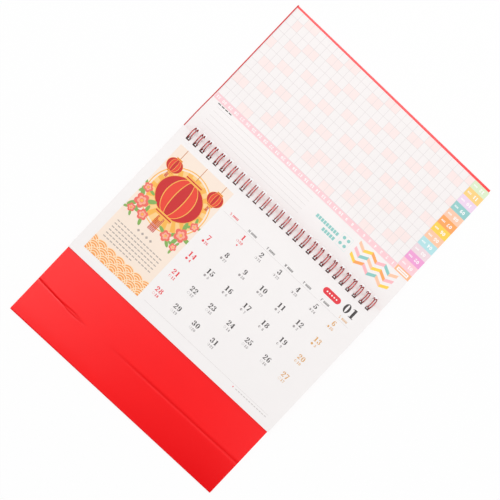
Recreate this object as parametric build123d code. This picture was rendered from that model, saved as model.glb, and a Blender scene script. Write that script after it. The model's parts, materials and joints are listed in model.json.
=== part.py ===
"""Desk calendar lying open on a table: a hard-board easel stand pressed flat, the month pages on its
front panel, and the cover and the year planner turned over a twin-loop wire binding.

Millimetres, +Z up. +Y runs from the foot of the stand to the far edge of the turned cover, and +X along
the binding. The origin is the middle of the part's footprint, on the table.
"""

import math
import os

from build123d import *

# Every leaf and panel is trimmed to one width
calendar_width = 252.0

# Wire binding: one wire bent into a comb of hairpin loops, three to the inch
loop_pitch = 25.4 / 3
loop_margin = 11.6
loop_diameter = 12.7
wire_diameter = 0.95
leg_spacing = 2.4
spine_corner = 1.1
seam_gap = 0.5
leg_segments = 9
tip_segments = 3
wire_sides = 6

# Leaves: month pages, year planner and cover
leaf_height = 153.4
month_leaf_count = 12
month_leaf_thickness = 0.2
planner_thickness = 0.25
cover_thickness = 0.4
cover_margin = 1.9
cover_lip = 0.4
leaf_gap = 0.1

# How the turned leaves lie: shifted sideways, pulled from the wire, lifted by it and eased to the table
leaf_shift = 0.35
leaf_pull = 0.6
leaf_lift = 3.65
leaf_shoulder = 3.0
leaf_slope = 46.0

# Punched holes, one for each loop in every leaf and panel
hole_side_play = 0.17
hole_play = 0.5
leaf_hole_edge = 3.9
board_hole_edge = 2.5

# Easel stand: front panel, folded base and back panel
crease_distance = 195.5
base_half_depth = 37.0
board_thickness = 1.8
panel_gap = 0.4
crease_width = 3.2
crease_depth = 0.55
spine_clearance = 0.75

# As many loops as the width takes
loop_count = int((calendar_width - 2 * loop_margin) / loop_pitch) + 1

# Heights over the table, at the binding
wire_radius = wire_diameter / 2
loop_radius = loop_diameter / 2 - wire_radius
axis_height = loop_diameter / 2
stack_height = 2 * board_thickness + panel_gap
back_rise = wire_diameter + spine_clearance
pages_bottom = stack_height + leaf_gap
pages_thickness = month_leaf_count * month_leaf_thickness
planner_low = cover_thickness + leaf_gap
planner_high = planner_low + planner_thickness


def loop_reach(height, outward=0.0):
    """How far the wire stands from the loops' axis at this height, outward of its middle line."""
    return math.sqrt((loop_radius + outward) ** 2 - (axis_height - height) ** 2)


# The holes let a loop through the back panel, where it passes at the steepest slant
hole_width = leg_spacing + wire_diameter + 2 * (leaf_shift + hole_side_play)
slant = loop_reach(back_rise + board_thickness, wire_radius) - loop_reach(back_rise, -wire_radius)
hole_height = slant + 2 * hole_play
leaf_inset = leaf_hole_edge + hole_height / 2
board_inset = board_hole_edge + hole_height / 2

# Distances of the holes and edges from the loops' axis
back_hole = (loop_reach(back_rise + board_thickness, wire_radius) + loop_reach(back_rise, -wire_radius)) / 2
front_hole = loop_reach(back_rise + stack_height - board_thickness / 2)
pages_hole = loop_reach(back_rise + pages_bottom + pages_thickness / 2)
planner_hole = loop_reach(leaf_lift + (planner_low + planner_high) / 2) + leaf_pull
planner_edge = planner_hole - leaf_inset
planner_far = planner_edge + leaf_height
cover_edge = planner_edge - cover_lip
cover_far = planner_far + cover_margin
stand_end = crease_distance + base_half_depth
footprint_shift = (stand_end - cover_far) / 2

# The panels climb from the crease to the binding: along them is Y, and away from the table is Z
panel_rise = math.degrees(math.atan2(back_rise, crease_distance - back_hole))
panel = Plane(origin=(0, -crease_distance, 0)).rotated((panel_rise, 0, 0))


def punches(distance, low, high):
    """The row of square punches at this distance along Y, each from low to high."""
    centred_on_low = (Align.CENTER, Align.CENTER, Align.MIN)
    tool = Pos(0, distance, low) * Box(hole_width, hole_height, high - low, align=centred_on_low)
    return [place * tool for place in GridLocations(loop_pitch, 1, loop_count, 1)]


def on_panel(distance, height):
    """Y and Z of a point at this distance up the panels, this high over the back of the stand."""
    point = panel.from_local_coords(Vector(0, distance, height))
    return point.Y, point.Z


def easel_stand():
    """One board: back panel, both halves of the base and front panel, scored at the two creases."""
    crease = -crease_distance
    half_crease = crease_width / 2
    fold = stack_height / 2 - stand_end
    front_inner = stack_height - board_thickness
    back_length = crease_distance - back_hole + board_inset
    front_length = crease_distance - front_hole + board_inset
    back_score = on_panel(half_crease, 0)
    front_score = on_panel(half_crease, stack_height)
    with BuildSketch(Plane.YZ) as section:
        with BuildLine():
            Line(on_panel(back_length, 0), back_score)
            ThreePointArc(back_score, (crease, crease_depth), (crease - half_crease, 0))
            Line((crease - half_crease, 0), (fold, 0))
            ThreePointArc((fold, 0), (-stand_end, stack_height / 2), (fold, stack_height))
            Line((fold, stack_height), (crease - half_crease, stack_height))
            valley = (crease, stack_height - crease_depth)
            ThreePointArc((crease - half_crease, stack_height), valley, front_score)
            Polyline(
                front_score,
                on_panel(front_length, stack_height),
                on_panel(front_length, front_inner),
                (crease, front_inner),
                (fold, front_inner),
            )
            inner_turn = (fold - panel_gap / 2, stack_height / 2)
            ThreePointArc((fold, front_inner), inner_turn, (fold, board_thickness))
            Polyline(
                (fold, board_thickness),
                (crease, board_thickness),
                on_panel(back_length, board_thickness),
                on_panel(back_length, 0),
            )
        make_face()
    board = extrude(section.sketch, amount=calendar_width / 2, both=True)
    between_panels = stack_height / 2
    back_holes = punches(crease_distance - back_hole, -board_thickness, between_panels)
    front_holes = punches(crease_distance - front_hole, between_panels, stack_height + board_thickness)
    return board - [panel * hole for hole in back_holes + front_holes]


def month_pages():
    """The stack of month leaves, flat on the front panel."""
    binding_edge = crease_distance - pages_hole + leaf_inset
    centred_to_edge = (Align.CENTER, Align.MAX, Align.MIN)
    stack = Pos(0, binding_edge, pages_bottom) * Box(
        calendar_width, leaf_height, pages_thickness, align=centred_to_edge
    )
    return panel * (stack - punches(crease_distance - pages_hole, 0, 2 * (pages_bottom + pages_thickness)))


def turned_leaf(near, far, low, high):
    """A leaf turned over the wire: level at the wire, eased down in two arcs, then flat on the table.

    low and high are its faces, measured square to the curve that the cover's underside follows.
    """
    bend = (leaf_slope**2 + leaf_lift**2) / (4 * leaf_lift)
    turn = math.degrees(math.asin(leaf_slope / 2 / bend))
    crest = planner_hole + hole_height / 2 + leaf_shoulder
    with BuildSketch(Plane.YZ) as section:
        with BuildLine():
            for height in (low, high):
                shoulder = CenterArc((crest, leaf_lift - bend), bend + height, 90, -turn)
                landing = CenterArc((crest + leaf_slope, bend), bend - height, 270 - turn, turn)
                Line((near, leaf_lift + height), shoulder @ 0)
                Line(landing @ 1, (far, height))
            Line((near, leaf_lift + low), (near, leaf_lift + high))
            Line((far, low), (far, high))
        make_face()
    leaf = extrude(section.sketch, amount=calendar_width / 2, both=True)
    return leaf - punches(near + leaf_inset, 0, 2 * (leaf_lift + high))


def loop_points():
    """The wire's middle line through one loop, from mid spine to mid spine, as places round the axis.

    It leaves the spine under the binding, goes up round the stand's side and over to the turned leaves,
    bends back at the tip beside the spine and returns.
    """
    half_leg = leg_spacing / 2
    leg_end = 2 * math.pi * loop_radius - wire_diameter - seam_gap - half_leg
    leg = [spine_corner + (leg_end - spine_corner) * i / leg_segments for i in range(leg_segments + 1)]
    rising = [(-loop_pitch / 2, 0), (-half_leg - spine_corner, 0)] + [(-half_leg, along) for along in leg]
    turns = [math.pi * i / tip_segments for i in range(1, tip_segments)]
    tip = [(-half_leg * math.cos(turn), leg_end + half_leg * math.sin(turn)) for turn in turns]
    falling = [(-x, along) for x, along in reversed(rising)]
    points = []
    for x, along in rising + tip + falling:
        turn = along / loop_radius
        points.append((x, -loop_radius * math.sin(turn), axis_height - loop_radius * math.cos(turn)))
    return points


def wire_binding():
    """The comb of loops, one wire from end to end."""
    points = loop_points()
    section = Plane(origin=points[0], z_dir=(1, 0, 0)) * RegularPolygon(wire_radius, wire_sides)
    loop = sweep(section, path=Polyline(*points), transition=Transition.RIGHT)
    first, *others = [place * loop for place in GridLocations(loop_pitch, 1, loop_count, 1)]
    return first.fuse(*others)


def main():
    os.makedirs("parts", exist_ok=True)
    planner = turned_leaf(planner_edge, planner_far, planner_low, planner_high)
    cover = turned_leaf(cover_edge, cover_far, 0, cover_thickness)
    nodes = {
        "easel_stand": easel_stand(),
        "wire_binding": wire_binding(),
        "month_pages": month_pages(),
        "planner_leaf": Pos(leaf_shift, 0, 0) * planner,
        "cover_leaf": Pos(-leaf_shift, 0, 0) * cover,
    }
    for name, solid in nodes.items():
        export_step(Pos(0, footprint_shift, 0) * solid, f"parts/{name}.step")


if __name__ == "__main__":
    main()
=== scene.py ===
# %% [markdown]
# # A wire-bound desk calendar, lying open
# The stand is pressed flat on a table, the month pages lie on its front panel, and the cover and the year
# planner are turned over the wire. The packed solids are the fixed frame: they give every place, and the
# box that they fill is kept here so that the finished looks can be compared with it at the end.

# %% Load the calendar's solids
import json
import math
import random
from itertools import cycle, pairwise

import bmesh
import bpy
from mathutils import Matrix, Vector


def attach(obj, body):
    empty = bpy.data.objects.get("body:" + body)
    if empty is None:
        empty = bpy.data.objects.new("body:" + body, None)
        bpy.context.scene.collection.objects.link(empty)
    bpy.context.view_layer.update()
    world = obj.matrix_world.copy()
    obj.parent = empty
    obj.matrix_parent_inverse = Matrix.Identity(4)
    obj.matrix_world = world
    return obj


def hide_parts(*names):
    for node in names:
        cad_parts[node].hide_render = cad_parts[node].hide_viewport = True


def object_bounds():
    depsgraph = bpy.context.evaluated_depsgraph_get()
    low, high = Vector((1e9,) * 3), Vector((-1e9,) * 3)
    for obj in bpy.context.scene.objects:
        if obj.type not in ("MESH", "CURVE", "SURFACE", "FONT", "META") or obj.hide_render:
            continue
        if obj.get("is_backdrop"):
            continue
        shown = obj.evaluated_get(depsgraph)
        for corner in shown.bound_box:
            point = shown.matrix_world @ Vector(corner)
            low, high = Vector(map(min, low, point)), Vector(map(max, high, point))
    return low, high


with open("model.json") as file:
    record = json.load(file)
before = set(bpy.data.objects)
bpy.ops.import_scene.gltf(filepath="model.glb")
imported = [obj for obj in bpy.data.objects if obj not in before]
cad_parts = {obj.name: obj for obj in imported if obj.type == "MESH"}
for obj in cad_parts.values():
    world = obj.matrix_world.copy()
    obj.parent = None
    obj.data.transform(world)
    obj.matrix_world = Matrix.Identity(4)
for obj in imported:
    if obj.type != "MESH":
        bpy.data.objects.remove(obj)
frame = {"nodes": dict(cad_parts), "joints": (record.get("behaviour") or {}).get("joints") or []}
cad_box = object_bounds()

print("solids:", sorted(frame["nodes"]))

# %% [markdown]
# ## One drawing frame
# A calendar maker measures everything from the binding, so each piece is drawn in millimetres with Y = 0 on
# the axis of the wire loops and Z = 0 on the table. One matrix then carries a finished drawing to the
# solids' frame in metres. The sizes below are those of the solids.

# %% Sizes of the board, the paper and the wire
MM = 0.001
axis_y = frame["joints"][0]["pos_m"][1]
to_frame = Matrix.Translation((0, axis_y, 0)) @ Matrix.Scale(MM, 4)

width = 252.0
leaf_length = 153.4
loop_pitch = 25.4 / 3
loop_count = 28
loop_radius = 5.875
wire_radius = 0.475
axis_height = 6.35
hole_width, hole_height = 4.39, 3.93
leaf_inset, board_inset = 5.865, 4.465
loop_places = [(index - (loop_count - 1) / 2) * loop_pitch for index in range(loop_count)]
print(f"{loop_count} loops over {loop_places[-1] - loop_places[0]:.1f} mm, axis at y = {axis_y:.4f} m")

# %% [markdown]
# ## Shader arithmetic
# A procedural finish is a chain of small nodes. Linking them one by one hides the idea, so a socket is
# wrapped in a class that understands + - * and makes the Math node for it. Every other kind of node comes
# from one method: its settings go in first, then the values or links of its sockets.


# %% A socket that works in Python expressions
class Flow:
    """A value that flows through a shader's nodes."""

    def __init__(self, tree, socket=None):
        self.tree = tree
        self.socket = socket

    def node(self, kind, settings, sockets, output=0):
        made = self.tree.nodes.new(kind)
        for name, value in settings.items():
            setattr(made, name, value)
        for name, value in sockets.items():
            if isinstance(value, Flow):
                self.tree.links.new(value.socket, made.inputs[name])
            else:
                made.inputs[name].default_value = value
        return Flow(self.tree, made.outputs[output])

    def into(self, shader, name):
        self.tree.links.new(self.socket, shader.inputs[name])

    def blend(self, low, high):
        """From one colour to another as this value goes from 0 to 1."""
        return self.node("ShaderNodeMix", {"data_type": "RGBA"}, {0: self, 6: low, 7: high}, 2)

    def math(self, operation, first, second):
        return self.node("ShaderNodeMath", {"operation": operation}, {0: first, 1: second})

    def __add__(self, other):
        return self.math("ADD", self, other)

    def __sub__(self, other):
        return self.math("SUBTRACT", self, other)

    def __rsub__(self, other):
        return self.math("SUBTRACT", other, self)

    def __mul__(self, other):
        return self.math("MULTIPLY", self, other)

    __radd__ = __add__
    __rmul__ = __mul__


print("Flow understands", [name for name in vars(Flow) if name.startswith("__r")])

# %% [markdown]
# ## Paper, card and ink
# Coated paper is never one flat colour: the coating clouds a little over a few centimetres, and pressed
# fibres give it a fine tooth that breaks up the shine. Two noises do both jobs, a wide one for the colour
# and a fine one for roughness and bump. Ink takes the tooth of the paper under it, so it is the same finish
# in another colour, and the wrapped board is the same again with a satin film over it.


# %% The finish of paper, card and ink
def screen(red, green, blue):
    """A colour as a screen shows it, from 0 to 255, as the linear values that a shader takes."""
    return *(((level / 255 + 0.055) / 1.055) ** 2.4 for level in (red, green, blue)), 1.0


def paper_finish(name, colour, roughness=0.6, drift=0.05, tooth=0.15, film=0.0):
    """Paper whose colour drifts a little, with a fine tooth, and a share of satin film over it."""
    material = bpy.data.materials.new(name)
    material.use_nodes = True
    shader = material.node_tree.nodes["Principled BSDF"]
    place = Flow(material.node_tree).node("ShaderNodeTexCoord", {}, {}, "Object")
    cloud = place.node("ShaderNodeTexNoise", {}, {"Vector": place, "Scale": 45.0, "Detail": 6.0})
    fibre = place.node("ShaderNodeTexNoise", {}, {"Vector": place, "Scale": 1500.0, "Detail": 3.0})
    deeper = *(level * (1 - 2 * drift) for level in colour[:3]), 1.0
    (0.75 * cloud + 0.25 * fibre).blend(deeper, colour).into(shader, "Base Color")
    (roughness + 0.15 * (fibre - 0.5)).into(shader, "Roughness")
    bump = {"Strength": tooth, "Distance": 0.0001, "Height": fibre}
    place.node("ShaderNodeBump", {}, bump).into(shader, "Normal")
    shader.inputs["Coat Weight"].default_value = film
    shader.inputs["Coat Roughness"].default_value = 0.24
    shader.inputs["Specular IOR Level"].default_value = 0.5 * (1 - film)
    return material


page_paper = paper_finish("page_paper", screen(244, 240, 239), drift=0.02)
planner_paper = paper_finish("planner_paper", screen(243, 238, 237), drift=0.02)
wrap_film = 0.9
red_wrap = paper_finish("red_wrap", screen(255, 4, 13), 0.55, drift=0.03, tooth=0.25, film=wrap_film)
cover_card = paper_finish("cover_card", screen(250, 20, 30), roughness=0.5, drift=0.05, film=0.8)
print("finishes:", [material.name for material in bpy.data.materials])

# %% [markdown]
# ## From drawing to piece
# Each drawing is a bmesh in millimetres. This helper turns its faces outwards, carries it to the solids'
# frame, makes it an object at the origin, and says which body it moves with and which solid it stands for.


# %% Make a drawing a piece of the calendar
def add_piece(name, drawing, body, material, smooth=None, stands_for=None):
    bmesh.ops.recalc_face_normals(drawing, faces=drawing.faces)
    bmesh.ops.transform(drawing, matrix=to_frame, verts=drawing.verts)
    mesh = bpy.data.meshes.new(name)
    drawing.to_mesh(mesh)
    drawing.free()
    mesh.materials.append(material)
    if smooth:
        mesh.shade_smooth()
        mesh.set_sharp_from_angle(angle=math.radians(smooth))
    piece = bpy.data.objects.new(name, mesh)
    bpy.context.scene.collection.objects.link(piece)
    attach(piece, body)
    if stands_for:
        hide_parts(stands_for)
    print(f"{name}: {len(mesh.polygons)} faces on {body}")
    return piece


binding = to_frame @ Vector((0, 0, axis_height))
print("middle of the binding at", [round(value, 4) for value in binding], "m")

# %% [markdown]
# ## A punched sheet
# Board, cover, planner and pages are all the same thing: a sheet with a row of square holes, bent along its
# length and straight across. A boolean could cut the holes, but it leaves ragged faces. Instead a row of
# edges, with a corner at every side of a hole, is drawn out from station to station along the bent path.
# The faces in the punched strips are taken out, and solidify gives the sheet its thickness.


# %% What an operator gives back
def verts_in(parts):
    """The corners among the parts that an operator made."""
    return [part for part in parts if isinstance(part, bmesh.types.BMVert)]


def edges_in(parts):
    """The edges among them."""
    return [part for part in parts if isinstance(part, bmesh.types.BMEdge)]


def whole(drawing):
    """All parts of a drawing."""
    return drawing.verts[:] + drawing.edges[:] + drawing.faces[:]


def beside_hole(x, play=0.0):
    """Whether this X lies in a punched hole, or by no more than the play beside one."""
    return any(abs(x - place) < hole_width / 2 + play for place in loop_places)


print("a hole at the first loop:", beside_hole(loop_places[0]), "and at the side:", beside_hole(width / 2))


# %% Draw a punched sheet
def columns_across(shift):
    """The X of every corner across a sheet: its sides, and the sides and middle of each hole and tongue."""
    offsets = (-hole_width / 2, 0, hole_width / 2, loop_pitch / 2)
    inner = [place + offset for place in loop_places for offset in offsets]
    return [x + shift for x in sorted([-width / 2, width / 2, *inner])]


def punched_sheet(stations, punched, thickness, shift=0.0):
    """A sheet through stations of Y and Z, punched in these strips, with its thickness on the inside."""
    sheet = bmesh.new()
    corners = [sheet.verts.new((x, *stations[0])) for x in columns_across(shift)]
    row = [sheet.edges.new(pair) for pair in pairwise(corners)]
    out = []
    for strip, (here, there) in enumerate(pairwise(stations)):
        drawn = bmesh.ops.extrude_edge_only(sheet, edges=row)["geom"]
        moved = verts_in(drawn)
        bmesh.ops.translate(sheet, verts=moved, vec=(0, there[0] - here[0], there[1] - here[1]))
        row = [edge for edge in edges_in(drawn) if set(moved).issuperset(edge.verts)]
        if strip in punched:
            faces = {face for edge in row for face in edge.link_faces}
            out += [face for face in faces if beside_hole(face.calc_center_median().x - shift)]
    bmesh.ops.delete(sheet, geom=out, context="FACES")
    bmesh.ops.solidify(sheet, geom=sheet.faces[:], thickness=thickness)
    return sheet


print(len(columns_across(0)), "corners across a sheet")

# %% [markdown]
# ## The stand
# The stand is one hard board wrapped in red paper, scored and folded: front panel, base, fold at the foot,
# base again and back panel. Drawn as a sheet, its path simply goes round the fold. The score lines come
# afterwards, because a rule presses only the outer face: corners near a crease are pushed into the board.
# The line is straight and firm on one half, and on the other it parts round a bubble in the wrapping paper.
# Where the rule pressed hard, and round the fold, the satin film is dull, and there the red is made deeper
# as painted shade for the shadow in the score line and on the fold as it turns down. The flap is painted
# deeper and made duller in the same way towards its right end and its foot, a painted shade where the light
# falls off. Round the punched holes the board turns brown: partly the cut core at the hole walls, partly
# painted shade where the pages cover the holes. So each corner also keeps how much painted shade and dull
# film it has, and whether it is by a cut hole, as two attributes that the finish can read.

# %% Path of the folded board
board_thickness, slit = 1.8, 0.4
stack_height = 2 * board_thickness + slit
crease_y, base_depth = -195.5, 37.0
fold_y = crease_y - base_depth + stack_height / 2
panel_rise = math.radians(0.50918)
back_hole, front_hole = 4.21, 5.667
crease_steps = [0.45 * step for step in range(1, 11)] + [5.2, 6.5, 9.0, 14.0, 24.0]
panel_steps = [40.0, 65.0, 90.0, 120.0, 150.0, 175.0]


def on_panel(distance, height):
    """Y and Z at this distance up the panels from the crease, this high over the back of the stand."""
    rise, run = math.sin(panel_rise), math.cos(panel_rise)
    return crease_y + distance * run - height * rise, distance * rise + height * run


def panel_stations(hole, height):
    """Stations up a panel, from beside the crease to the binding edge."""
    middle = -crease_y - hole
    at_holes = [middle - hole_height / 2, middle + hole_height / 2, middle + board_inset]
    return [on_panel(distance, height) for distance in [0.0, *crease_steps, *panel_steps, *at_holes]]


base_steps = [step for step in crease_steps if crease_y - step > fold_y]
turn_steps = 12
turn = [math.pi * (0.5 + step / turn_steps) for step in range(turn_steps + 1)]
fold = [(fold_y + stack_height / 2 * math.cos(a), stack_height / 2 * (1 + math.sin(a))) for a in turn]
board_path = panel_stations(front_hole, stack_height)[::-1]
board_path += [(crease_y - step, stack_height) for step in base_steps] + fold
board_path += [(crease_y - step, 0.0) for step in base_steps[::-1]] + panel_stations(back_hole, 0.0)
print(len(board_path), "stations round the board")


# %% Where the board is scored and bent, and where its red is painted deeper as shade
parted_end, parted_length, parted_depth, parted_half = -64.0, 62.0, 0.2, 0.9
parted_low, parted_climb, parted_firming = -1.2, 2.9, 4.0
eye_start, eye_length, eye_half = -97.0, 31.0, 1.2
straight_start, straight_length, straight_depth, straight_half = -42.0, 168.0, 0.22, 1.4
straight_low, straight_climb, straight_firming = -0.2, 1.5, 60.0
falloff_start, falloff_length, falloff_soft, falloff_at_crease, falloff_at_foot = -30.0, 130.0, 3.0, 0.3, 0.75
foot_droop = 0.2


def share(value):
    """A value held between 0 and 1."""
    return min(1.0, max(0.0, value))


def groove(depth, half, away):
    """How deep a rounded groove of this half breadth is, this far from its middle."""
    return depth * math.exp(-((away / half) ** 2))


def score_depth(x, along):
    """How far the score presses the board at this place across it, this far along from the crease."""
    if x < parted_end:
        free = (parted_end - x) / parted_length
        away = along - parted_low - parted_climb * free**2
        eye = eye_half * math.sin(math.pi * share((x - eye_start) / eye_length))
        lines = [groove(parted_depth, parted_half, away + side * eye) for side in (-1, 1)]
        return share(parted_firming * free) * sum(lines)
    run = x - straight_start
    away = along - straight_low - straight_climb * run / straight_length
    return share(run / straight_firming) * groove(straight_depth, straight_half, away)


def rubbed(x, along):
    """How much painted shade and dull film the flap has: from nothing near one end to most at the foot's
    other end.
    """
    down = falloff_at_crease + (falloff_at_foot - falloff_at_crease) * share(-along / base_depth)
    return share((x - falloff_start) / falloff_length) * share(-along / falloff_soft) * down


def base_droop(x, along):
    """The flap slopes a little to its foot, more at one end, so its share of the height shrinks."""
    return 1 - foot_droop * (0.5 + x / width) * share(-along / base_depth)


print("crease pressed", round(score_depth(100, 1.0), 2), "mm at", crease_y)

# %% Fold, score and wrap the board
score_reach, skin, full_shade_depth, fold_shade = 6.0, 1.0, 0.32, 0.9
cut_aside, cut_beyond = 0.1, 0.2
holes_near, holes_far = -front_hole - hole_height, -back_hole + hole_height / 2 + cut_beyond
board = punched_sheet(board_path, {1, len(board_path) - 3}, board_thickness)
shade_and_dull = board.verts.layers.float.new("shade_and_dull")
cut = board.verts.layers.float.new("cut")
for corner in board.verts:
    x, y, z = corner.co
    along, upper = y - crease_y, z > stack_height / 2
    # By the holes: a brown that is partly the cut core at the hole walls and partly painted shade where the
    # pages cover the holes.
    if holes_near < y < holes_far and beside_hole(x, cut_aside):
        corner[cut] = 1.0
    # Painted shade in the score line, deepest where the rule pressed; the film there is dull too.
    if abs(along) < score_reach and not skin < z < stack_height - skin:
        depth = score_depth(x, along)
        corner.co.z += depth * (-1 if upper else 1)
        corner[shade_and_dull] = share(depth / full_shade_depth)
    # Painted shade on the fold as it turns down, away from the light; the film there is dull too.
    if y < fold_y:
        corner[shade_and_dull] = fold_shade * (fold_y - y) / (stack_height / 2)
    # On the flap: painted shade and duller film towards its right end and its foot, where the light falls
    # off, and the droop.
    if along < 0:
        if upper:
            corner[shade_and_dull] = max(corner[shade_and_dull], rubbed(x, along))
        corner.co.z *= base_droop(x, along)
stand_board = add_piece("stand_board", board, "stand", red_wrap, 35, "easel_stand")
rounding = stand_board.modifiers.new("rounded_wrap", "BEVEL")
rounding.width, rounding.segments, rounding.angle_limit = 0.3 * MM, 2, math.radians(50)

# %% Deepen the red as painted shade where the film is dull, and brown it round the holes
shader = red_wrap.node_tree.nodes["Principled BSDF"]
smooth_red = Flow(red_wrap.node_tree, shader.inputs["Base Color"].links[0].from_socket)
shade_and_dull_mask = smooth_red.node("ShaderNodeAttribute", {"attribute_name": "shade_and_dull"}, {}, "Fac")
core_and_shade_mask = smooth_red.node("ShaderNodeAttribute", {"attribute_name": "cut"}, {}, "Fac")
shaded_red, core_and_shade_brown = screen(226, 0, 10), screen(118, 78, 74)
# Painted shade: a darker red in the score line, on the fold and on the flap, and brown by the holes, partly
# cut core and partly painted shade.
core_and_shade_mask.blend(shade_and_dull_mask.blend(smooth_red, shaded_red), core_and_shade_brown).into(shader, "Base Color")
(wrap_film * (1 - shade_and_dull_mask) * (1 - core_and_shade_mask)).into(shader, "Coat Weight")
print(len(red_wrap.node_tree.nodes), "nodes in the red wrap")

# %% [markdown]
# ## The twin-loop wire
# One wire runs the whole width: along the spine under the binding, up round a loop, back at the tip and on.
# A curve with a bevel could follow it, but the loop is made of plain turns, so a small ring of edges is spun
# round each of them in order: half the tip, the long leg round the axis, and the corner into the spine.
# Mirroring gives the other leg, and copies side by side are merged into one wire.

# %% Bend the wire comb
leg_gap, spine_corner, seam_gap = 2.4, 1.1, 0.5
wire_sides, tip_steps, leg_steps, corner_steps = 10, 6, 34, 5
half_leg = leg_gap / 2
leg_end = 2 * math.pi - (2 * wire_radius + seam_gap + half_leg) / loop_radius
leg_start = spine_corner / loop_radius
across = Vector((1, 0, 0))


def on_loop(x, angle):
    """A place on a loop, its angle counted from the spine round by the stand's side."""
    return Vector((x, -loop_radius * math.sin(angle), axis_height - loop_radius * math.cos(angle)))


def off_loop(angle):
    """The direction straight out from a loop."""
    return Vector((0, -math.sin(angle), -math.cos(angle)))


wire = bmesh.new()
tip_angle = leg_end + half_leg / loop_radius
at_tip = Matrix.Translation(on_loop(0, tip_angle)) @ Matrix.Rotation(math.pi / 2, 4, "Y")
section = bmesh.ops.create_circle(wire, segments=wire_sides, radius=wire_radius, matrix=at_tip)["verts"]
quarter = math.pi / 2
bends = [
    (on_loop(0, leg_end), off_loop((leg_end + tip_angle) / 2), quarter, tip_steps),
    (Vector((0, 0, axis_height)), across, leg_end - leg_start, leg_steps),
    (on_loop(-half_leg - spine_corner, leg_start), off_loop(leg_start / 2), -quarter, corner_steps),
]
end = [*section, *{edge for vert in section for edge in vert.link_edges}]
for centre, axle, angle, steps in bends:
    end = bmesh.ops.spin(wire, geom=end, cent=centre, axis=axle, angle=angle, steps=steps)["geom_last"]
drawn = bmesh.ops.extrude_edge_only(wire, edges=edges_in(end))["geom"]
bmesh.ops.translate(wire, verts=verts_in(drawn), vec=(half_leg + spine_corner - loop_pitch / 2, 0, 0))
bmesh.ops.mirror(wire, geom=whole(wire), axis="X", merge_dist=0.01)
print(len(wire.faces), "faces in one loop")

# %% Set the loops side by side and join them
one_loop = whole(wire)
for place in loop_places[1:]:
    copy = bmesh.ops.duplicate(wire, geom=one_loop)["geom"]
    bmesh.ops.translate(wire, verts=verts_in(copy), vec=(place, 0, 0))
bmesh.ops.translate(wire, verts=verts_in(one_loop), vec=(loop_places[0], 0, 0))
bmesh.ops.remove_doubles(wire, verts=wire.verts, dist=0.02)
bmesh.ops.holes_fill(wire, edges=[edge for edge in wire.edges if edge.is_boundary], sides=0)
print(len(loop_places), "loops joined into one wire of", len(wire.faces), "faces")

# %% [markdown]
# ## Rose-red enamel on steel
# The wire has a thin metallic enamel: it shines like metal, in a wine red, and the colour pools a little
# thicker in places. A metallic shader with a slow noise between two reds shows that. Bare metal mirrors
# white at its edges, but light that grazes the enamel passes more of it, so the edges are tinted a deep red.

# %% The finish of the wire
wire_enamel = bpy.data.materials.new("wire_enamel")
wire_enamel.use_nodes = True
shader = wire_enamel.node_tree.nodes["Principled BSDF"]
place = Flow(wire_enamel.node_tree).node("ShaderNodeTexCoord", {}, {}, "Object")
pooled = place.node("ShaderNodeTexNoise", {}, {"Vector": place, "Scale": 220.0, "Detail": 3.0})
fine = place.node("ShaderNodeTexNoise", {}, {"Vector": place, "Scale": 2400.0, "Detail": 2.0})
pooled.blend(screen(132, 22, 28), screen(212, 70, 70)).into(shader, "Base Color")
(0.22 + 0.16 * fine).into(shader, "Roughness")
shader.inputs["Metallic"].default_value = 0.85
shader.inputs["Specular Tint"].default_value = screen(160, 50, 52)
add_piece("wire_comb", wire, "stand", wire_enamel, 60, "wire_binding")

# %% [markdown]
# ## The turned leaves
# The cover and the planner hang on the wire, level where the wire lifts them, then ease down in two arcs
# and lie flat. Stations close together in the arcs keep the curve smooth.

# %% Cover and planner sheets
planner_hole = 6.096
shoulder, slope, lift = 3.0, 46.0, 3.65
crest = planner_hole + hole_height / 2 + shoulder
landing = crest + slope
bend = (slope**2 + lift**2) / (4 * lift)
cover_thickness, planner_thickness, leaf_gap = 0.4, 0.25, 0.1
planner_top = cover_thickness + leaf_gap + planner_thickness
planner_edge = planner_hole - leaf_inset
planner_far = planner_edge + leaf_length
cover_lip, cover_margin, cover_play, leaf_shift = 0.4, 2.7, 0.8, 0.35
left_reach, right_trim, cover_skew = 1.1, 0.7, math.radians(0.11)
ease_steps, flat_steps = 28, 6


def turned_height(y, top):
    """Z of a turned leaf's upper face, top over the curve that the cover's underside follows."""
    if y <= crest:
        return lift + top
    if y <= crest + slope / 2:
        return lift - bend + math.sqrt((bend + top) ** 2 - (y - crest) ** 2)
    if y <= landing:
        return bend - math.sqrt((bend - top) ** 2 - (landing - y) ** 2)
    return top


def turned_stations(edge, far, top, play=0.0):
    """Stations from the far edge, over the holes, to the edge at the wire, with play beyond the holes."""
    eased = [crest + slope * step / ease_steps for step in range(ease_steps + 1)]
    flat = [landing + (far - landing) * (step + 1) / flat_steps for step in range(flat_steps)]
    reach = [edge, planner_hole - hole_height / 2, planner_hole + hole_height / 2 + play, *eased, *flat]
    return [(y, turned_height(y, top)) for y in reversed(reach)]


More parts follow.
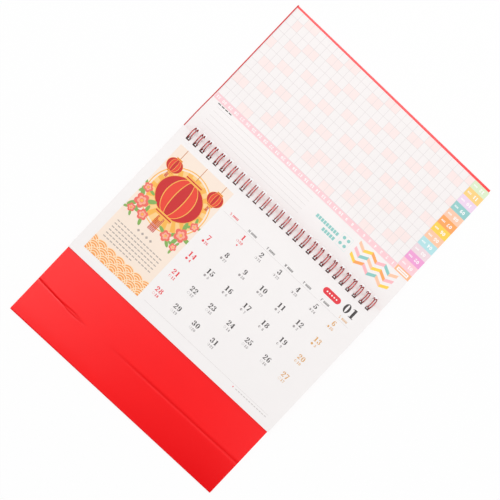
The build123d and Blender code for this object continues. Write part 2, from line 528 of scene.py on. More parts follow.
planner_path = turned_stations(planner_edge, planner_far, planner_top)
cover_edge, cover_far = planner_edge - cover_lip, planner_far + cover_margin
cover_path = turned_stations(cover_edge, cover_far, cover_thickness, cover_play)
hole_strip = {len(planner_path) - 3}
planner_sheet = punched_sheet(planner_path, hole_strip, planner_thickness, leaf_shift)
cover_sheet = punched_sheet(cover_path, hole_strip, cover_thickness, leaf_shift)
for side, reach in ((-1, left_reach), (1, right_trim)):
    trimmed = [vert for vert in cover_sheet.verts if side * (vert.co.x - leaf_shift) > width / 2 - 0.01]
    bmesh.ops.translate(cover_sheet, verts=trimmed, vec=(-reach, 0, 0))
askew = Matrix.Rotation(cover_skew, 3, "Z")
bmesh.ops.rotate(cover_sheet, verts=cover_sheet.verts, cent=(width / 2, 0, 0), matrix=askew)
add_piece("planner_sheet", planner_sheet, "planner", planner_paper, 30, "planner_leaf")
add_piece("cover_sheet", cover_sheet, "cover", cover_card, 30, "cover_leaf")

# %% [markdown]
# ## The month leaves
# Twelve leaves hang on the wire and lie on the front panel. As one block they would look like a slab, so
# every leaf is its own thin sheet. The trimmed edges never line up quite: each leaf under the first is set
# off by a tenth of a millimetre or so.

# %% Twelve month leaves
leaf_count, leaf_pitch, leaf_thickness = 12, 0.2, 0.17
pages_hole, pages_bottom = 5.839, stack_height + leaf_gap
pages_top = pages_bottom + leaf_count * leaf_pitch
leaf_edge = -crease_y - pages_hole + leaf_inset
hole_reach = leaf_inset - hole_height / 2, leaf_inset + hole_height / 2
leaf_steps = [leaf_edge - reach for reach in (0, *hole_reach, 40, 96, leaf_length)]
stray_aside, stray_down, stray_up = 0.14, 0.22, 0.05
random.seed(12)
leaves = bmesh.new()
for leaf in range(leaf_count):
    top = pages_top - leaf * leaf_pitch
    sheet = punched_sheet([on_panel(step, top) for step in leaf_steps], {1}, leaf_thickness)
    if leaf:
        aside = random.uniform(-stray_aside, stray_aside)
        along = random.uniform(-stray_down, stray_up)
        bmesh.ops.translate(sheet, verts=sheet.verts, vec=(aside, along, 0))
    loose = bpy.data.meshes.new("loose_leaf")
    sheet.to_mesh(loose)
    sheet.free()
    leaves.from_mesh(loose)
    bpy.data.meshes.remove(loose)
add_piece("month_leaves", leaves, "pages", page_paper, 30, "month_pages")

# %% [markdown]
# ## Flat shapes for print
# Print could be an image wrapped on the paper, but a drawn shape stays sharp at any distance. Four shapes
# are enough: a rectangle, a spot, a bow between two ovals, and a straight-sided patch. A bow is two circles
# bridged into a band, with the faces outside its sweep taken out, and a ring is a bow between two circles.
# Strokes of one ink cross each other, and two faces in one plane would shade each other, so the shapes lie
# at eight heights in turn, about a micron apart.


# %% Rectangle, spot, bow, ring and patch
lift_step, lift_count = 0.0013, 8
lifts = cycle(lift_step * step for step in range(lift_count))


def rectangle(film, left, low, right, high):
    centre = Matrix.Translation(((left + right) / 2, (low + high) / 2, next(lifts)))
    matrix = centre @ Matrix.Diagonal((right - left, high - low, 1, 1))
    bmesh.ops.create_grid(film, x_segments=1, y_segments=1, size=0.5, matrix=matrix)


def spot(film, x, y, across, along=None, turn=0.0, sides=20):
    """A round or oval spot of these half sizes."""
    spread = Matrix.Rotation(turn, 4, "Z") @ Matrix.Diagonal((across, along or across, 1, 1))
    matrix = Matrix.Translation((x, y, next(lifts))) @ spread
    return bmesh.ops.create_circle(film, cap_ends=True, segments=sides, radius=1, matrix=matrix)["verts"]


def bow(film, x, y, across, along, side, tip, start=0, sweep=360, sides=20):
    """A band inside an oval, broad at its sides and fine at its tips, over a sweep in degrees."""
    rims, lift = [], next(lifts)
    for half_x, half_y in ((across, along), (across - side, along - tip)):
        matrix = Matrix.Translation((x, y, lift)) @ Matrix.Diagonal((half_x, half_y, 1, 1))
        rims += bmesh.ops.create_circle(film, segments=sides, radius=1, matrix=matrix)["verts"]
    edges = list({edge for vert in rims for edge in vert.link_edges})
    away = []
    for face in bmesh.ops.bridge_loops(film, edges=edges)["faces"]:
        middle = face.calc_center_median()
        angle = math.degrees(math.atan2((middle.y - y) / along, (middle.x - x) / across))
        if (angle - start) % 360 > sweep:
            away.append(face)
    bmesh.ops.delete(film, geom=away, context="FACES")


def ring(film, x, y, radius, breadth, start=0, sweep=360, sides=20):
    """A band of one breadth inside a circle."""
    bow(film, x, y, radius, radius, breadth, breadth, start, sweep, sides)


def patch(film, *corners):
    lift = next(lifts)
    bmesh.ops.contextual_create(film, geom=[film.verts.new((x, y, lift)) for x, y in corners])


trial = bmesh.new()
bow(trial, 0, 0, 3, 5, 1, 0.3, start=-90, sweep=180)
print(len(trial.faces), "faces in half a bow")
trial.free()

# %% [markdown]
# ## Figures
# The dates are set in a fat-faced book type: upright strokes are heavy, joining strokes are hairlines and
# the open ends carry a ball. A built-in font has no such face, so each figure is put together from the four
# shapes, one unit tall, and struck at the size it needs, as type is. With stouter joining strokes the same
# figures serve for the small labels, where hairlines would be lost.


# %% The strokes of each figure
def figure_strokes(hair):
    """Each figure as its strokes, one unit tall, with joining strokes as fine as hair."""
    return {
        "0": [(bow, 0.31, 0.5, 0.31, 0.5, 0.21, hair)],
        "1": [
            (rectangle, 0.19, 0, 0.43, 1),
            (rectangle, 0.06, 0, 0.55, hair),
            (patch, (0.2, 1), (0.04, 0.9), (0.04, 0.86 - hair / 2), (0.2, 0.93 - hair / 2)),
        ],
        "2": [
            (bow, 0.3, 0.71, 0.29, 0.29, 0.21, hair, -45, 225),
            (spot, 0.12, 0.7, 0.105),
            (patch, (0.357, 0.537), (0.505, 0.505), (0.22, 0.13), (0.02, 0.06)),
            (rectangle, 0.02, 0, 0.56, 0.15),
            (patch, (0.49, 0.13), (0.56, 0.13), (0.6, 0.3), (0.57, 0.3)),
        ],
        "3": [
            (bow, 0.28, 0.755, 0.26, 0.245, 0.19, hair, -90, 265),
            (spot, 0.12, 0.76, 0.1),
            (bow, 0.27, 0.275, 0.32, 0.275, 0.22, hair, -175, 265),
            (spot, 0.09, 0.27, 0.105),
        ],
        "4": [
            (rectangle, 0.31, 0, 0.53, 1),
            (rectangle, 0, 0.24, 0.62, 0.26 + hair),
            (patch, (0.33, 1), (0.42, 1), (0.02 + hair, 0.28), (0, 0.28)),
            (rectangle, 0.24, 0, 0.61, hair),
        ],
        "5": [
            (rectangle, 0.1, 0.86, 0.53, 1),
            (rectangle, 0.1, 0.48, 0.1 + hair, 0.9),
            (bow, 0.27, 0.315, 0.34, 0.315, 0.23, hair, -175, 300),
            (spot, 0.09, 0.26, 0.105),
        ],
        "6": [
            (bow, 0.33, 0.3, 0.29, 0.3, 0.2, hair),
            (bow, 0.37, 0.5, 0.35, 0.5, 0.22, hair, 60, 130),
            (spot, 0.5, 0.86, 0.08),
        ],
        "7": [
            (rectangle, 0.02, 0.85, 0.58, 1),
            (rectangle, 0.02, 0.72, 0.02 + hair, 0.9),
            (patch, (0.47, 0.87), (0.58, 0.9), (0.41, 0), (0.15, 0)),
        ],
        "8": [(bow, 0.31, 0.755, 0.26, 0.245, 0.18, hair), (bow, 0.31, 0.27, 0.32, 0.27, 0.21, hair)],
        "9": [
            (bow, 0.29, 0.7, 0.29, 0.3, 0.2, hair),
            (bow, 0.25, 0.5, 0.35, 0.5, 0.22, hair, 240, 130),
            (spot, 0.12, 0.14, 0.08),
        ],
        "S": [
            (bow, 0.3, 0.74, 0.25, 0.26, 0.16, hair, 30, 240),
            (bow, 0.3, 0.26, 0.27, 0.26, 0.16, hair, -150, 240),
        ],
        "M": [
            (rectangle, 0, 0, 0.13, 1),
            (rectangle, 0.5, 0, 0.63, 1),
            (patch, (0.02, 1), (0.15, 1), (0.36, 0.25), (0.27, 0.25)),
            (patch, (0.48, 1), (0.61, 1), (0.36, 0.25), (0.27, 0.25)),
        ],
        "T": [(rectangle, 0.02, 0.86, 0.6, 1), (rectangle, 0.22, 0, 0.4, 1)],
        "W": [
            (patch, (-0.05, 1), (0.09, 1), (0.22, 0), (0.13, 0)),
            (patch, (0.25, 1), (0.37, 1), (0.22, 0), (0.13, 0)),
            (patch, (0.25, 1), (0.37, 1), (0.5, 0), (0.41, 0)),
            (patch, (0.54, 1), (0.67, 1), (0.5, 0), (0.41, 0)),
        ],
        "F": [
            (rectangle, 0.08, 0, 0.24, 1),
            (rectangle, 0.08, 0.87, 0.57, 1),
            (rectangle, 0.08, 0.45, 0.47, 0.57),
        ],
    }


book_hair, label_hair = 0.06, 0.14
print(len(figure_strokes(book_hair)), "figures and initials")


# %% Cut both faces of type
def cut_type(face, hair):
    """One small mesh for each figure."""
    case = {}
    for figure, strokes in figure_strokes(hair).items():
        cut = bmesh.new()
        for draw, *sizes in strokes:
            draw(cut, *sizes)
        case[figure] = bpy.data.meshes.new(face + figure)
        cut.to_mesh(case[figure])
        cut.free()
    return case


book_type, label_type = cut_type("book_type_", book_hair), cut_type("label_type_", label_hair)
figure_advance, figure_spread, figure_half = 0.72, 1.15, 0.31


def stamp(film, figures, x, y, height, turn=0.0, face=book_type):
    """Print a row of figures of this height, centred here."""
    spread = Matrix.Diagonal((figure_spread * height, height, 1, 1))
    place = Matrix.Translation((x, y, 0)) @ Matrix.Rotation(turn, 4, "Z") @ spread
    for index, figure in enumerate(figures):
        struck = face[figure].copy()
        step = (index - (len(figures) - 1) / 2) * figure_advance - figure_half
        struck.transform(place @ Matrix.Translation((step, -0.5, 0)))
        film.from_mesh(struck)
        bpy.data.meshes.remove(struck)


print("type case:", " ".join(book_type))

# %% [markdown]
# ## Inks laid on a sheet
# Each ink of a sheet is one drawing. It is cut wherever the sheet bends, so that it bends in the same
# places, made a closed film with its underside just in the paper, and lifted about a hundredth of a
# millimetre for each layer. Uniform ink to a piece also lets every piece keep its colour exactly.

# %% The inks and how they are laid
ink_screens = {
    "black": (52, 46, 46),
    "grey": (158, 152, 152),
    "red": (226, 44, 58),
    "gold": (218, 164, 96),
    "rule": (206, 199, 198),
    "white": (252, 250, 249),
}
inks = {}
film_step, film_sink = 0.012, 0.02


def mix_ink(name, colour):
    inks[name] = paper_finish("ink_" + name, screen(*colour), roughness=0.55, drift=0.03, tooth=0.12)


class Print:
    """The inks on one sheet, each a drawing of flat shapes at some layer over the paper."""

    def __init__(self, sheet, body, slot, height, bends=()):
        self.sheet, self.body, self.slot = sheet, body, slot
        self.height, self.bends = height, bends
        self.films = {}

    def ink(self, name, layer=1):
        if (name, layer) not in self.films:
            self.films[name, layer] = bmesh.new()
        return self.films[name, layer]

    def lay(self):
        for (name, layer), film in self.films.items():
            for y in self.bends:
                parts = whole(film)
                bmesh.ops.bisect_plane(film, geom=parts, plane_co=(0, y, 0), plane_no=(0, 1, 0), dist=1e-4)
            film.normal_update()
            bmesh.ops.reverse_faces(film, faces=[face for face in film.faces if face.normal.z < 0])
            bmesh.ops.solidify(film, geom=film.faces[:], thickness=1.0)
            for vert in film.verts:
                lifted = layer * film_step + vert.co.z if vert.co.z > -0.5 else -film_sink
                vert.co.z = self.height(vert.co.y) + lifted
            add_piece(f"{self.sheet}_{name}_{layer}", film, self.body, inks[name])


def page_height(y):
    """Z of the first month leaf's upper face."""
    return (y - crease_y) * math.tan(panel_rise) + pages_top / math.cos(panel_rise)


def turned_print(sheet, slot, path):
    """The inks of a turned leaf, at the height of its upper face, straight between its stations."""

    def height(y):
        for (far, far_z), (near, near_z) in pairwise(path):
            if near <= y <= far:
                return near_z + (far_z - near_z) * (y - near) / (far - near)

    return Print(sheet, sheet, slot, height, [y for y, _ in path[1:-1]])


for name, colour in ink_screens.items():
    mix_ink(name, colour)
january = Print("january", "pages", "page_white", page_height)
planner = turned_print("planner", "planner_white", planner_path)
cover = turned_print("cover", "cover_red", cover_path)
print(f"January lies {page_height(-80):.2f} mm up, the planner's far edge {planner.height(150):.2f} mm")

# %% [markdown]
# ## The cover's open side
# A strip of the cover shows beside the planner, and a darker red is laid along this open side as painted
# shade, for the thin shadow at the cover's edge. One long rectangle of a darker red is enough.

# %% Painted shade along the cover's open side
mix_ink("rim", (190, 14, 26))
edge_shade_left = leaf_shift - width / 2 - left_reach
rectangle(cover.ink("rim"), edge_shade_left, cover_edge, edge_shade_left + left_reach, cover_far)
cover.lay()

# %% [markdown]
# ## January's dates
# Seven columns start on Sunday and the month starts on a Monday, so the day's number itself gives its place:
# the remainder by seven is the column. Sundays and the first are red, Saturdays gold. Under each date is a
# small moon and the day of the moon's month. A moon is a disc with one half narrowed to the line between
# light and dark.

# %% Dates and moons
column_x, column_pitch = -37.6, 23.17
row_y, row_pitch = -37.8, 22.08
date_height, moon_drop, moon_radius, moon_rim = 5.0, 5.4, 1.2, 0.16
moon_left, age_right, age_height = 2.5, 1.5, 2.5
holiday_drop, holiday_radius = 9.1, 0.8
new_moon_day, moon_cycle, full_edge = 11, 29.53, -0.9


def moon(film, x, y, age):
    """The moon's dark side at this age of its cycle, from 0 to 1, in a fine ring."""
    ring(film, x, y, moon_radius, moon_rim, sides=16)
    edge = math.cos(2 * math.pi * age)
    if edge > full_edge:
        side = 1 if age < 0.5 else -1
        for vert in spot(film, x, y, moon_radius, sides=16):
            if side * (vert.co.x - x) > 0:
                vert.co.x = x + edge * (vert.co.x - x)


for day in range(1, 32):
    row, column = divmod(day, 7)
    x, y = column_x + column * column_pitch, row_y - row * row_pitch
    bright = "red" if column == 0 or day == 1 else "gold" if column == 6 else None
    stamp(january.ink(bright or "black"), str(day), x, y, date_height)
    small, age = january.ink(bright or "grey"), (day - new_moon_day) % moon_cycle
    moon(small, x - moon_left, y - moon_drop, age / moon_cycle)
    stamp(small, str(int(age) + 1), x + age_right, y - moon_drop, age_height, face=label_type)
spot(january.ink("red"), column_x + column_pitch, row_y - holiday_drop, holiday_radius)
print("dates laid out on", len(january.films), "inks")

# %% [markdown]
# ## January's headings
# Over the columns stand the initials of the weekdays, each with a short hatch. A red pill with a row of
# dots, one for each week, and the month's number in fat figures fill the top right corner, and fine lines
# bound the dates above and below.


# %% Weekdays and rules
def hatch(film, left, y, strokes, pitch, height):
    """A row of short upright strokes."""
    for stroke in range(strokes):
        x = left + stroke * pitch
        rectangle(film, x, y - height / 2, x + 0.6 * pitch, y + height / 2)


def dashes(film, left, y, count, pitch, length, half):
    """A row of dashes of this length, each reaching half up and half down."""
    for dash in range(count):
        x = left + dash * pitch
        rectangle(film, x, y - half, x + length, y + half)


heading_y, initial_left, initial_height, hatch_right = -29.5, 0.4, 2.6, 2.0
for column, initial in enumerate("SMTWTFS"):
    film = january.ink({0: "red", 6: "gold"}.get(column, "black"))
    x = column_x + column * column_pitch
    stamp(film, initial, x - initial_left, heading_y, initial_height, face=label_type)
    hatch(film, x + hatch_right, heading_y, strokes=6, pitch=1.15, height=2.0)
rule_half = 0.1
for left, right, y in ((-45.0, 114.0, -32.3), (-42.0, 115.5, -142.0)):
    rectangle(january.ink("rule"), left, y - rule_half, right, y + rule_half)
print("weekdays laid out on", len(january.films), "inks")

# %% Month mark and foot marks
pill_x, pill_y, pill_reach, pill_half = 82.2, -20.3, 6.95, 3.35
week_pitch, week_radius = 2.9, 0.75
red = january.ink("red")
rectangle(red, pill_x - pill_reach, pill_y - pill_half, pill_x + pill_reach, pill_y + pill_half)
for side in (-1, 1):
    spot(red, pill_x + side * pill_reach, pill_y, pill_half)
for week in range(5):
    spot(january.ink("white", 2), pill_x + (week - 2) * week_pitch, pill_y, week_radius)
month_x, month_y, month_height = 104.8, -19.4, 9.6
stamp(january.ink("black"), "01", month_x, month_y, month_height)
foot_x, foot_y, foot_radius, foot_gap = 73.0, -144.6, 0.6, 3.0
spot(red, foot_x, foot_y, foot_radius)
dashes(january.ink("rule"), foot_x + foot_gap, foot_y, count=12, pitch=3.3, length=2.4, half=0.4)
print("headings laid out on", len(january.films), "inks")

# %% [markdown]
# ## January's picture
# A tall panel on a peach ground carries a New Year picture in red and gold: paper lanterns on cords before
# a sun with broad rays, blossom round them, and a border of waves in the old fish-scale pattern. A lantern's
# belly is an oval, its ribs are thin bows and its tassel a row of threads. Waves are drawn whole and cut to
# the panel.

# %% Inks of the picture
for name, colour in {
    "peach": (248, 230, 214),
    "sun": (251, 206, 138),
    "cord": (196, 120, 62),
    "lantern": (196, 14, 20),
    "glow": (230, 58, 36),
    "gilt": (246, 182, 78),
    "leaf": (128, 172, 84),
    "petal": (238, 108, 96),
    "blush": (248, 176, 150),
    "wave": (246, 160, 78),
    "crest": (254, 226, 190),
    "note": (176, 164, 156),
}.items():
    mix_ink(name, colour)
panel_left, panel_right, panel_top, panel_foot = -115.5, -48.7, -14.6, -143.9
rectangle(january.ink("peach"), panel_left, panel_foot, panel_right, panel_top)
sun_x, sun_y, sun_radius, sun_sides = -82.0, -56.0, 29.0, 72
halo_radius, halo_breadth, rays, ray_length = 31.6, 1.0, 18, 20.0
spot(january.ink("sun", 2), sun_x, sun_y, sun_radius, sides=sun_sides)
ring(january.ink("gilt", 3), sun_x, sun_y, halo_radius, halo_breadth, sides=sun_sides)
for ray in range(rays):
    start, sweep = 360 / rays * ray, 180 / rays
    ring(january.ink("gilt", 3), sun_x, sun_y, sun_radius, ray_length, start, sweep, sun_sides)
print("picture inks:", len(inks))


# %% Lanterns
def lantern(x, y, size):
    """A paper lantern on its cord: ribbed belly, gilt caps and a tassel."""
    across, along = 21.0 * size, 17.5 * size
    cap, tassel = 8.0 * size, y - along - 2.0 * size
    rectangle(january.ink("cord", 4), x - 0.3, y, x + 0.3, panel_top)
    spot(january.ink("lantern", 5), x, y, across, along, sides=48)
    spot(january.ink("glow", 6), x, y, 0.62 * across, 0.985 * along, sides=40)
    spot(january.ink("lantern", 7), x, y, 0.24 * across, 0.97 * along, sides=32)
    for rib in (1.0, 0.62, 0.24):
        bow(january.ink("gilt", 8), x, y, rib * across, along, 0.6 * size + 0.15, 0.3 * size, sides=40)
    for end in (-1, 1):
        middle = y + end * (along + 0.3 * size)
        rectangle(january.ink("gilt", 8), x - cap, middle - 1.9 * size, x + cap, middle + 1.9 * size)
        rectangle(january.ink("lantern", 9), x - cap, middle - 0.5 * size, x + cap, middle + 0.5 * size)
    spot(january.ink("gilt", 8), x, tassel - 1.6 * size, 1.9 * size)
    for thread in range(-3, 4):
        middle, half = x + thread * 0.95 * size, 0.3 * size
        rectangle(january.ink("lantern", 7), middle - half, tassel - 14 * size, middle + half, tassel)


lanterns = [(-82.0, -53.0, 1.16), (-106.2, -33.0, 0.4), (-57.6, -30.5, 0.4)]
for x, y, size in lanterns:
    lantern(x, y, size)
print(len(lanterns), "lanterns")


# %% Blossom and leaves
def blossom(x, y, size, turn):
    """Five round petals on a paler five, with a gilt heart."""
    for ink, layer, reach, petal in (("petal", 10, 1.0, 0.72), ("blush", 11, 0.62, 0.42)):
        for step in range(5):
            angle = turn + step * math.tau / 5
            centre = x + reach * size * math.cos(angle), y + reach * size * math.sin(angle)
            spot(january.ink(ink, layer), *centre, petal * size, sides=14)
    spot(january.ink("petal", 11), x, y, 0.5 * size, sides=12)
    spot(january.ink("gilt", 12), x, y, 0.36 * size, sides=12)


blossoms = [
    (-106, -77, 4.2), (-97, -86, 3.2), (-110, -64, 2.8), (-109, -88, 2.4),
    (-58, -76, 4.0), (-68, -86, 3.2), (-54, -62, 2.6), (-56, -89, 2.2),
]
for index, (x, y, size) in enumerate(blossoms):
    for angle in (0.6, 2.2, 4.1):
        turned = angle + index
        along = x + 2.1 * size * math.cos(turned), y + 2.1 * size * math.sin(turned)
        spot(january.ink("leaf", 9), *along, 1.25 * size, 0.5 * size, turned, sides=14)
    blossom(x, y, size, 0.7 * index)
print(len(blossoms), "blossoms")

# %% Note lines
note = january.ink("note", 2)
diamond_y, diamond_half, diamond_pitch = -99.0, 1.5, 5.0
low, high = diamond_y - diamond_half, diamond_y + diamond_half
for step in range(4):
    x = sun_x + (step - 1.5) * diamond_pitch
    patch(note, (x - diamond_half, diamond_y), (x, low), (x + diamond_half, diamond_y), (x, high))
note_left, note_top, note_pitch = -110.0, -105.0, 3.8
note_dashes = (14, 14, 14, 14, 14, 9)
for line, count in enumerate(note_dashes):
    dashes(note, note_left, note_top - line * note_pitch, count, pitch=4.0, length=2.9, half=0.5)
print(len(note_dashes), "note lines")

# %% Waves, cut to the panel
wave_top, wave_radius, wave_pitch, wave_row = -127.5, 8.2, 11.0, 4.6
crests, crest_breadth = (wave_radius, 6.2, 3.9), 0.9
for row in range(3):
    y = wave_top - wave_radius - row * wave_row
    for step in range(-1, 8):
        x = panel_left + (step + 0.5 * (row % 2)) * wave_pitch
        spot(january.ink("wave", 2 + 2 * row), x, y, wave_radius, sides=40)
        for radius in crests:
            ring(january.ink("crest", 3 + 2 * row), x, y, radius, crest_breadth, sides=40)
panel_sides = [
    ((panel_left, 0, 0), (-1, 0, 0)),
    ((panel_right, 0, 0), (1, 0, 0)),
    ((0, panel_foot, 0), (0, -1, 0)),
]
for (name, _), film in january.films.items():
    for point, away in panel_sides if name in ("wave", "crest", "leaf") else ():
        bmesh.ops.bisect_plane(film, geom=whole(film), plane_co=point, plane_no=away, clear_outer=True)
january.lay()

# %% [markdown]
# ## The year planner
# Seen from this side the planner is upside down: its months run from the wire to the far edge and its days
# from right to left. A year that starts on a Monday has its weekends where the day of the year leaves 6 or 0
# by seven, so the tinted cells are counted, not listed.

# %% Grid, weekends and day numbers
for name, colour in {"weekend": (248, 230, 227), "band": (250, 203, 209), "grid": (219, 211, 211)}.items():
    mix_ink(name, colour)
grid_left, grid_right, grid_foot, grid_head = -125.1, 107.7, 45.0, 153.6
day_pitch, month_pitch = (grid_right - grid_left) / 31, 9.12
band_foot, day_height, line_half = 38.8, 2.9, 0.14
month_days = (31, 29, 31, 30, 31, 30, 31, 31, 30, 31, 30, 31)


def month_row(month):
    """Lowest and highest Y of a month's row. The last one is cut short at the head of the sheet."""
    low = grid_foot + month * month_pitch
    return low, min(low + month_pitch, grid_head)


day_of_year = 0
for month, days in enumerate(month_days):
    low, high = month_row(month)
    for day in range(1, days + 1):
        day_of_year += 1
        if day_of_year % 7 in (6, 0):
            right = grid_right - (day - 1) * day_pitch
            rectangle(planner.ink("weekend"), right - day_pitch, low, right, high)
for month in range(12):
    y, _ = month_row(month)
    rectangle(planner.ink("grid", 2), grid_left, y - line_half, grid_right, y + line_half)
for day in range(32):
    x = grid_right - day * day_pitch
    rectangle(planner.ink("grid", 2), x - line_half, grid_foot, x + line_half, grid_head)
rectangle(planner.ink("band"), grid_left, band_foot, grid_right, grid_foot)
band_middle = (band_foot + grid_foot) / 2
for day in range(1, 32):
    x = grid_right - (day - 0.5) * day_pitch
    stamp(planner.ink("white", 2), str(day), x, band_middle, day_height, math.pi, label_type)
print(day_of_year, "days in the year")

# %% Month tabs
tab_right = width / 2 + leaf_shift
number_x, number_height, tab_hatch_x = 119.8, 3.4, 109.9
label_box, label_hatch_x, label_y = (110.3, 40.2, 123.8, 43.5), 111.6, 41.85
label_gap = 0.5
tabs = [
    (250, 204, 212), (240, 160, 212), (238, 216, 222), (178, 224, 228), (255, 198, 164), (255, 208, 76),
    (255, 164, 88), (255, 200, 170), (146, 202, 200), (238, 212, 236), (250, 208, 126), (220, 236, 200),
]
for month, colour in enumerate(tabs):
    name = f"tab{month + 1:02d}"
    mix_ink(name, colour)
    low, high = month_row(month)
    rectangle(planner.ink(name), grid_right, low, tab_right, high)
    white, middle = planner.ink("white", 2), (low + high) / 2
    stamp(white, f"{month + 1:02d}", number_x, middle, number_height, math.pi, label_type)
    hatch(white, tab_hatch_x, middle, strokes=4, pitch=1.15, height=1.6)
mix_ink("label", (255, 184, 138))
rectangle(planner.ink("label"), grid_right + label_gap, band_foot, tab_right, grid_foot)
rectangle(planner.ink("white", 2), *label_box)
hatch(planner.ink("label", 3), label_hatch_x, label_y, strokes=9, pitch=1.25, height=1.3)
print(len(tabs), "month tabs")

# %% [markdown]
# ## Notes and a ribbon border
# Between the wire and the days there is room to write: ruled lines on one side, and on the other a few
# printed marks in teal and a border of bright ribbon folded to and fro. Each row of the border is a chain of
# slanting arms of one breadth that meet at upright folds, and the colours move on two arms from row to row.

# %% Ruled lines and teal marks
for name, colour in {"teal": (138, 200, 194), "mint": (216, 234, 232), "rose": (252, 184, 190)}.items():
    mix_ink(name, colour)
ruled_left, ruled_right, ruled_foot, ruled_pitch, ruled_half = -116.0, 6.7, 14.0, 5.06, 0.11
for line in range(5):
    y = ruled_foot + line * ruled_pitch
    rectangle(planner.ink("rule"), ruled_left, y - ruled_half, ruled_right, y + ruled_half)
title_left, title_y = -117.5, 37.5
dashes(planner.ink("black"), title_left, title_y, count=4, pitch=4.4, length=3.3, half=0.5)
block_right, block_pitch, block_width, block_half = 48.0, 3.15, 2.5, 1.75
for count, y in ((9, 25.2), (5, 19.4)):
    for block in range(count):
        x = block_right - block * block_pitch
        rectangle(planner.ink("teal"), x - block_width, y - block_half, x, y + block_half)
frame_left, frame_right, frame_low, frame_high, frame_breadth = 50.8, 62.9, 17.2, 31.5, 0.3
mint = planner.ink("mint")
for y in (frame_low, frame_high - frame_breadth):
    rectangle(mint, frame_left, y, frame_right, y + frame_breadth)
for x in (frame_left, frame_right - frame_breadth):
    rectangle(mint, x, frame_low, x + frame_breadth, frame_high)
bead_columns, bead_rows, bead_radius = (54.2, 59.5), (21.2, 27.5), 1.7
for x in bead_columns:
    for y in bead_rows:
        spot(planner.ink("teal"), x, y, bead_radius)
print("planner printed in", len(planner.films), "inks so far")

# %% Folded ribbon
ribbon_left, ribbon_right, ribbon_foot = 67.8, 116.6, 15.6
ribbon_inks = ("tab06", "tab07", "rose", "teal", "tab05")
arms, arm_rise, ribbon_breadth, ribbon_row = 6, 4.1, 3.4, 6.8
arm_run = (ribbon_right - ribbon_left) / arms
for row in range(3):
    for arm in range(arms):
        left, low = ribbon_left + arm * arm_run, ribbon_foot + row * ribbon_row
        start, end = (low, low + arm_rise) if arm % 2 else (low + arm_rise, low)
        film = planner.ink(ribbon_inks[(arm + 2 * row) % len(ribbon_inks)])
        right, upper_start, upper_end = left + arm_run, start + ribbon_breadth, end + ribbon_breadth
        patch(film, (left, start), (right, end), (right, upper_end), (left, upper_start))
planner.lay()
for mesh in [*book_type.values(), *label_type.values()]:
    bpy.data.meshes.remove(mesh)
print("print laid on both sheets")

# %% [markdown]
# ## Light, floor and camera
# The photograph is a catalogue view from straight above on white. A wide lamp beyond the far edge and an
# even white sky light the paper at about its own colour. The floor and the sky show white to the camera, and
# the floor still takes a part of its light from the lamp, so it keeps the shadow. In reflections the sky is
# bright over the far edge and at both sides and dim in a band a little to the right, as in a room with
# windows, and that is what shades the satin board and the wire. The camera's place, turn and lens were found
# by matching the corners of the sheets with the photograph.


# %% Floor
def ray_kinds(tree):
    """Whether a ray is the camera's, a mirror's or one through a clear piece, each 1 or 0."""
    kinds = ("Camera", "Glossy", "Transmission")
    return [Flow(tree).node("ShaderNodeLightPath", {}, {}, f"Is {kind} Ray") for kind in kinds]


floor_size, floor_drop, floor_share = 6.0, 0.2 * MM, 0.92
floor_shape = bmesh.new()
bmesh.ops.create_grid(floor_shape, x_segments=1, y_segments=1, size=floor_size)
bmesh.ops.translate(floor_shape, verts=floor_shape.verts, vec=(0, 0, -floor_drop))
floor_mesh = bpy.data.meshes.new("floor")
floor_shape.to_mesh(floor_mesh)
floor = bpy.data.objects.new("floor", floor_mesh)
bpy.context.scene.collection.objects.link(floor)
floor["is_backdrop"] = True

floor_white = bpy.data.materials.new("floor_white")
floor_white.use_nodes = True
floor_tree = floor_white.node_tree
shader = floor_tree.nodes["Principled BSDF"]
shader.inputs["Base Color"].default_value = (0.9, 0.9, 0.9, 1)
shader.inputs["Roughness"].default_value = 0.9
glow = Flow(floor_tree).node("ShaderNodeEmission", {}, {"Color": (1, 1, 1, 1), "Strength": 1.0})
lit = Flow(floor_tree, shader.outputs["BSDF"])
seen, mirrored, through = ray_kinds(floor_tree)
own_light = floor_share * (seen + mirrored + through)
floor_mix = glow.node("ShaderNodeMixShader", {}, {0: own_light, 1: lit, 2: glow})
floor_mix.into(floor_tree.nodes["Material Output"], "Surface")
floor_mesh.materials.append(floor_white)
print("floor:", 2 * floor_size, "m wide,", floor_share, "of its white is its own light")

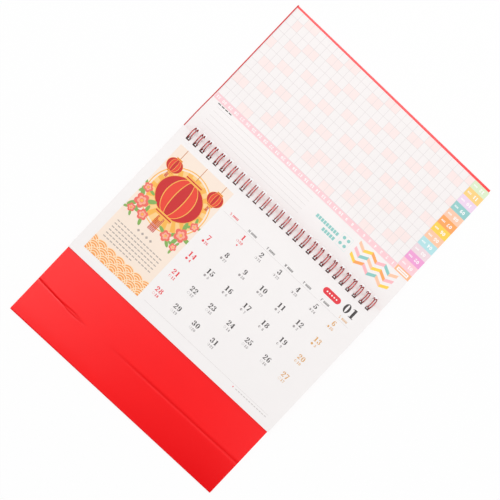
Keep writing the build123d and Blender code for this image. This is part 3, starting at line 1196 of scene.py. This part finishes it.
# %% Sky
sky = bpy.data.worlds.new("sky")
sky.use_nodes = True
bpy.context.scene.world = sky
sky_light, window_light = 0.67, 2.3
overhead, leftward, sideways, farward = 1.3, 6.7, 28.5, 4.4
facing = Flow(sky.node_tree).node("ShaderNodeTexCoord", {}, {}, "Generated")
east, north, up = (facing.node("ShaderNodeSeparateXYZ", {}, {"Vector": facing}, axis) for axis in "XYZ")
window = overhead - leftward * east + sideways * east * east + farward * north
window = window.math("MINIMUM", window.math("MAXIMUM", window, 0.0), window_light)
seen, mirrored, through = ray_kinds(sky.node_tree)
strength = sky_light + (window - sky_light) * up * up * mirrored + (1 - sky_light) * (seen + through)
background = sky.node_tree.nodes["Background"]
background.inputs["Color"].default_value = (1, 1, 1, 1)
strength.into(background, "Strength")
print("sky:", sky_light, "on the paper, up to", window_light, "in reflections")

# %% Lamp
lamp_data = bpy.data.lights.new("window_lamp", "AREA")
lamp_data.shape, lamp_data.size = "SQUARE", 1.5
lamp_data.energy = 22.6
lamp = bpy.data.objects.new("window_lamp", lamp_data)
lamp.location = (-0.25, 0.85, 2.1)
lamp.rotation_mode = "QUATERNION"
lamp.rotation_quaternion = (-lamp.location).to_track_quat("-Z", "Y")
bpy.context.scene.collection.objects.link(lamp)
print(f"lamp of {lamp_data.energy:.1f} W, {lamp.location.length:.2f} m away")

# %% Camera
camera_data = bpy.data.cameras.new("camera")
camera_data.sensor_width, camera_data.lens = 36.0, 47.05
camera = bpy.data.objects.new("camera", camera_data)
camera.location = (-0.0231, -0.0173, 0.6116)
camera.rotation_euler = (-0.0067, -0.0407, 0.7571)
bpy.context.scene.collection.objects.link(camera)
bpy.context.scene.camera = camera
bpy.context.scene.view_settings.view_transform = "Standard"
print(f"camera {camera.location.z:.2f} m up, with a {camera_data.lens:.1f} mm lens")

# %% [markdown]
# ## Compare the boxes
# The growth from the solids' box to the box of the looks is printed. The looks may not
# outgrow the solids.

# %% Print how far the looks' box grows beyond the solids' box
looks_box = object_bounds()
grown = [(looks - cad) / MM for pair in zip(cad_box, looks_box) for cad, looks in zip(*pair)]
print("from the solids' box to that of the looks:", [round(by, 2) for by in grown], "mm")
